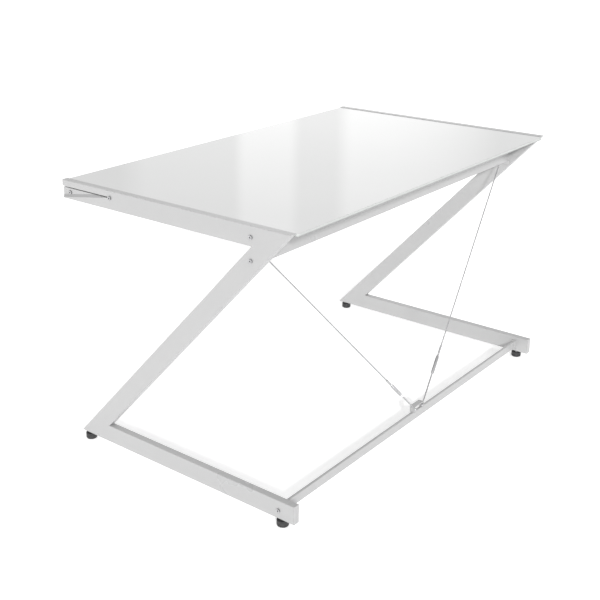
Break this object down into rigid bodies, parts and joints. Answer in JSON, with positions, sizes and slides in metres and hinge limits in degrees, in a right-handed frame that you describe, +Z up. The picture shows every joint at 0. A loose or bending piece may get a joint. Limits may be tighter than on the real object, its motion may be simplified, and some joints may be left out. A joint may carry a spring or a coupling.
{
  "type": "z-frame glass table",
  "caption": "Rectangular glass-topped drafting table on open Z-shaped tube side frames, tied by cross bars, braced by tensioned cables and standing on screw-adjusted feet.",
  "frame": {"origin": "centre of the bounding box, on the floor under the feet", "axes": "+X to the table's right-hand side frame, -Y to the seated user, +Y to the braced back, +Z up"},
  "size_m": [1.301, 0.773, 0.75],
  "materials": {
    "frame_paint": "semi-gloss silver grey paint",
    "cap_paint": "grey plastic matched to the paint",
    "white_glass": "glossy, backed in opaque white",
    "clear_pad": "translucent soft pads",
    "bolt_steel": "zinc plated",
    "cable_steel": "stranded wire rope",
    "fitting_steel": "turned steel",
    "foot_black": "moulded black"
  },
  "bodies": {
    "frame": {"top_rail_right": "frame_paint", "top_rail_left": "frame_paint", "leg_right": "frame_paint", "leg_left": "frame_paint", "base_rail_right": "frame_paint", "base_rail_left": "frame_paint", "base_cap_right": "cap_paint", "base_cap_left": "cap_paint", "end_wedge_right": "frame_paint", "end_wedge_left": "frame_paint", "front_bar": "frame_paint", "front_plate_right": "frame_paint", "front_plate_left": "frame_paint", "knee_beam": "frame_paint", "knee_plate_right": "frame_paint", "knee_plate_left": "frame_paint", "low_bar": "frame_paint", "low_flange_right": "frame_paint", "low_flange_left": "frame_paint", "cable_bridge": "frame_paint", "glass_top": "white_glass", "glass_pads": "clear_pad", "bolts_right": "bolt_steel", "bolts_left": "bolt_steel", "wedge_nut_right": "bolt_steel", "wedge_nut_left": "bolt_steel", "brace_cable_right": "cable_steel", "brace_cable_left": "cable_steel", "upper_stud_right": "fitting_steel", "upper_stud_left": "fitting_steel", "lock_nut_right": "fitting_steel", "lock_nut_left": "fitting_steel", "lower_rod_right": "fitting_steel", "lower_rod_left": "fitting_steel", "foot_inserts": "fitting_steel"},
    "turnbuckle_right": {"turnbuckle_right": "fitting_steel"},
    "turnbuckle_left": {"turnbuckle_left": "fitting_steel"},
    "foot_pad_right_front": {"foot_pad_right_front": "foot_black"},
    "foot_stud_right_front": {"foot_stud_right_front": "fitting_steel"},
    "foot_pad_right_back": {"foot_pad_right_back": "foot_black"},
    "foot_stud_right_back": {"foot_stud_right_back": "fitting_steel"},
    "foot_pad_left_front": {"foot_pad_left_front": "foot_black"},
    "foot_stud_left_front": {"foot_stud_left_front": "fitting_steel"},
    "foot_pad_left_back": {"foot_pad_left_back": "foot_black"},
    "foot_stud_left_back": {"foot_stud_left_back": "fitting_steel"}
  },
  "joints": [
    {"name": "turnbuckle_right_turn", "type": "hinge", "parent": "frame", "child": "turnbuckle_right", "pos_m": [0.10511, 0.33108, 0.15347], "axis": [-0.6883, 0.1103, -0.717], "range_deg": [-720, 720]},
    {"name": "turnbuckle_left_turn", "type": "hinge", "parent": "frame", "child": "turnbuckle_left", "pos_m": [-0.10511, 0.33108, 0.15347], "axis": [0.6883, 0.1103, -0.717], "range_deg": [-720, 720]},
    {"name": "foot_right_front_height", "type": "slide", "parent": "frame", "child": "foot_pad_right_front", "axis": [0, 0, -1], "range_m": [-0.001, 0.012]},
    {"name": "foot_right_front_screw", "type": "hinge", "parent": "foot_pad_right_front", "child": "foot_stud_right_front", "pos_m": [0.635, -0.3415, 0], "axis": [0, 0, -1], "range_deg": [-300, 3480]},
    {"name": "foot_right_back_height", "type": "slide", "parent": "frame", "child": "foot_pad_right_back", "axis": [0, 0, -1], "range_m": [-0.001, 0.012]},
    {"name": "foot_right_back_screw", "type": "hinge", "parent": "foot_pad_right_back", "child": "foot_stud_right_back", "pos_m": [0.635, 0.345, 0], "axis": [0, 0, -1], "range_deg": [-300, 3480]},
    {"name": "foot_left_front_height", "type": "slide", "parent": "frame", "child": "foot_pad_left_front", "axis": [0, 0, -1], "range_m": [-0.001, 0.012]},
    {"name": "foot_left_front_screw", "type": "hinge", "parent": "foot_pad_left_front", "child": "foot_stud_left_front", "pos_m": [-0.635, -0.3415, 0], "axis": [0, 0, -1], "range_deg": [-300, 3480]},
    {"name": "foot_left_back_height", "type": "slide", "parent": "frame", "child": "foot_pad_left_back", "axis": [0, 0, -1], "range_m": [-0.001, 0.012]},
    {"name": "foot_left_back_screw", "type": "hinge", "parent": "foot_pad_left_back", "child": "foot_stud_left_back", "pos_m": [-0.635, 0.345, 0], "axis": [0, 0, -1], "range_deg": [-300, 3480]}
  ],
  "couplings": [
    {"joint": "foot_right_front_screw", "follows": "foot_right_front_height", "rad_per_m": 5026.5},
    {"joint": "foot_right_back_screw", "follows": "foot_right_back_height", "rad_per_m": 5026.5},
    {"joint": "foot_left_front_screw", "follows": "foot_left_front_height", "rad_per_m": 5026.5},
    {"joint": "foot_left_back_screw", "follows": "foot_left_back_height", "rad_per_m": 5026.5}
  ]
}
